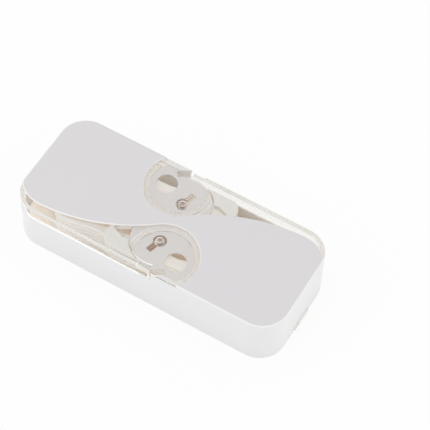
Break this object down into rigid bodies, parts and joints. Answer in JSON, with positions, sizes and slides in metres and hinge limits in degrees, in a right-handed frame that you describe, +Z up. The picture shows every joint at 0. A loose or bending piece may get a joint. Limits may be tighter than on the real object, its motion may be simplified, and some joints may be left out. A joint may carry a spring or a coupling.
{
  "type": "dental floss pick dispenser",
  "caption": "Pocket case for disposable floss picks, with an S-shaped top plate, clear swing-out gates at both long sides, a sprung platform and a hinged clear bottom cover.",
  "frame": {"origin": "middle of the case's base, on the surface that it stands on", "axes": "+Z up, +X along the case to the end with the finger tab, +Y across it"},
  "size_m": [0.0924, 0.038, 0.019],
  "materials": {
    "white_plastic": "satin white moulded plastic",
    "plate_plastic": "fine matt warm grey-white moulded plastic",
    "deck_plastic": "satin light grey moulded plastic",
    "clear_plastic": "polished clear plastic",
    "steel": "plain steel",
    "pick_plastic": "white moulded plastic",
    "floss": "white thread"
  },
  "bodies": {
    "case": {"case_shell": "white_plastic", "s_cover_plate": "plate_plastic", "clear_top": "clear_plastic", "deck_plate": "deck_plastic", "deck_screws": "steel", "front_pivot_pin": "steel", "rear_pivot_pin": "steel", "front_return_spring": "steel", "rear_return_spring": "steel", "cover_hinge_pins": "steel"},
    "front_gate": {"front_gate": "clear_plastic", "front_lever": "white_plastic"},
    "rear_gate": {"rear_gate": "clear_plastic", "rear_lever": "white_plastic"},
    "front_pick": {"pick_front_1": "pick_plastic", "floss_front_top": "floss"},
    "rear_pick": {"pick_rear_1": "pick_plastic", "floss_rear_top": "floss"},
    "bottom_cover": {"bottom_cover": "clear_plastic", "platform_spring_left": "steel", "platform_spring_right": "steel"},
    "platform": {"platform": "white_plastic", "pick_front_2": "pick_plastic", "pick_front_3": "pick_plastic", "pick_front_4": "pick_plastic", "pick_front_5": "pick_plastic", "pick_rear_2": "pick_plastic", "pick_rear_3": "pick_plastic", "pick_rear_4": "pick_plastic", "pick_rear_5": "pick_plastic", "floss_lower": "floss"}
  },
  "joints": [
    {"name": "front_gate_swing", "type": "hinge", "parent": "case", "child": "front_gate", "pos_m": [0.0005, -0.0074, 0.0165], "axis": [0, 0, 1], "range_deg": [0, 22], "stiffness_Nm_per_rad": 0.004, "springref_deg": -28.65},
    {"name": "rear_gate_swing", "type": "hinge", "parent": "case", "child": "rear_gate", "pos_m": [-0.0005, 0.0074, 0.0165], "axis": [0, 0, 1], "range_deg": [0, 22], "stiffness_Nm_per_rad": 0.004, "springref_deg": -28.65},
    {"name": "front_pick_swing", "type": "hinge", "parent": "case", "child": "front_pick", "pos_m": [0.028, -0.0095, 0.0148], "axis": [0, 0, 1], "range_deg": [0, 8.2]},
    {"name": "rear_pick_swing", "type": "hinge", "parent": "case", "child": "rear_pick", "pos_m": [-0.028, 0.0095, 0.0148], "axis": [0, 0, 1], "range_deg": [0, 8.2]},
    {"name": "bottom_cover_hinge", "type": "hinge", "parent": "case", "child": "bottom_cover", "pos_m": [-0.043, 0, 0.0015], "axis": [0, 1, 0], "range_deg": [0, 90]},
    {"name": "platform_slide", "type": "slide", "parent": "bottom_cover", "child": "platform", "axis": [0, 0, 1], "range_m": [-0.0015, 0], "stiffness_N_per_m": 150, "springref_m": 0.003, "deforming": ["platform_spring_left", "platform_spring_right"]}
  ],
  "couplings": [
    {"joint": "front_pick_swing", "follows": "front_gate_swing", "ratio": 0.372},
    {"joint": "rear_pick_swing", "follows": "rear_gate_swing", "ratio": 0.372}
  ]
}
